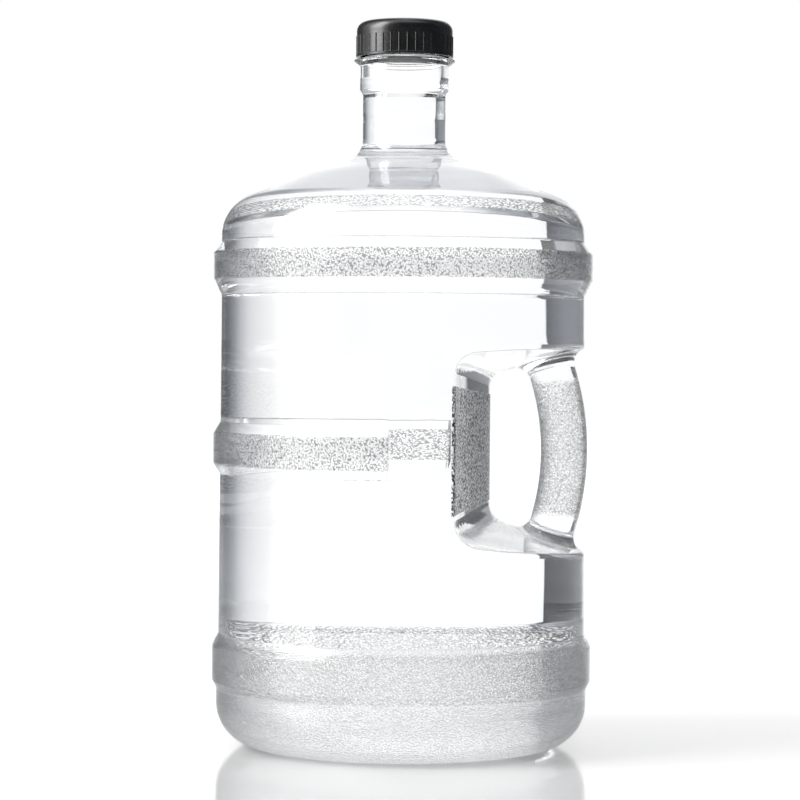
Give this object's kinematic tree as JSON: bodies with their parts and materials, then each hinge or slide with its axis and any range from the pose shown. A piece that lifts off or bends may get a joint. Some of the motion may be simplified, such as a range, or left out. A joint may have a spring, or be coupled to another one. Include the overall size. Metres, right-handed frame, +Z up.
{
  "type": "large water jug",
  "caption": "Large clear water jug with raised bands, a hollow moulded-in carrying handle, a narrow collared neck and a ribbed black screw cap over a sealing disc.",
  "frame": {"origin": "centre of the standing ring on the floor", "axes": "+Z up along the bottle's axis to the cap, +X towards the carrying handle"},
  "size_m": [0.27, 0.27, 0.5169],
  "materials": {
    "clear_polycarbonate": "gloss, fine moulded grain on the bands and grips",
    "black_plastic": "satin",
    "foam": "matte"
  },
  "bodies": {
    "bottle": {"bottle": "clear_polycarbonate"},
    "sealing_disc": {"cap_liner": "foam"},
    "cap": {"cap_shell": "black_plastic"}
  },
  "joints": [
    {"name": "cap_rise", "type": "slide", "parent": "bottle", "child": "sealing_disc", "axis": [0, 0, 1], "range_m": [0, 0.0301]},
    {"name": "cap_unscrew", "type": "hinge", "parent": "sealing_disc", "child": "cap", "pos_m": [0, 0, 0.5], "axis": [0, 0, 1], "range_deg": [0, 1800]}
  ],
  "couplings": [
    {"joint": "cap_rise", "follows": "cap_unscrew", "m_per_rad": 0.00095493}
  ]
}
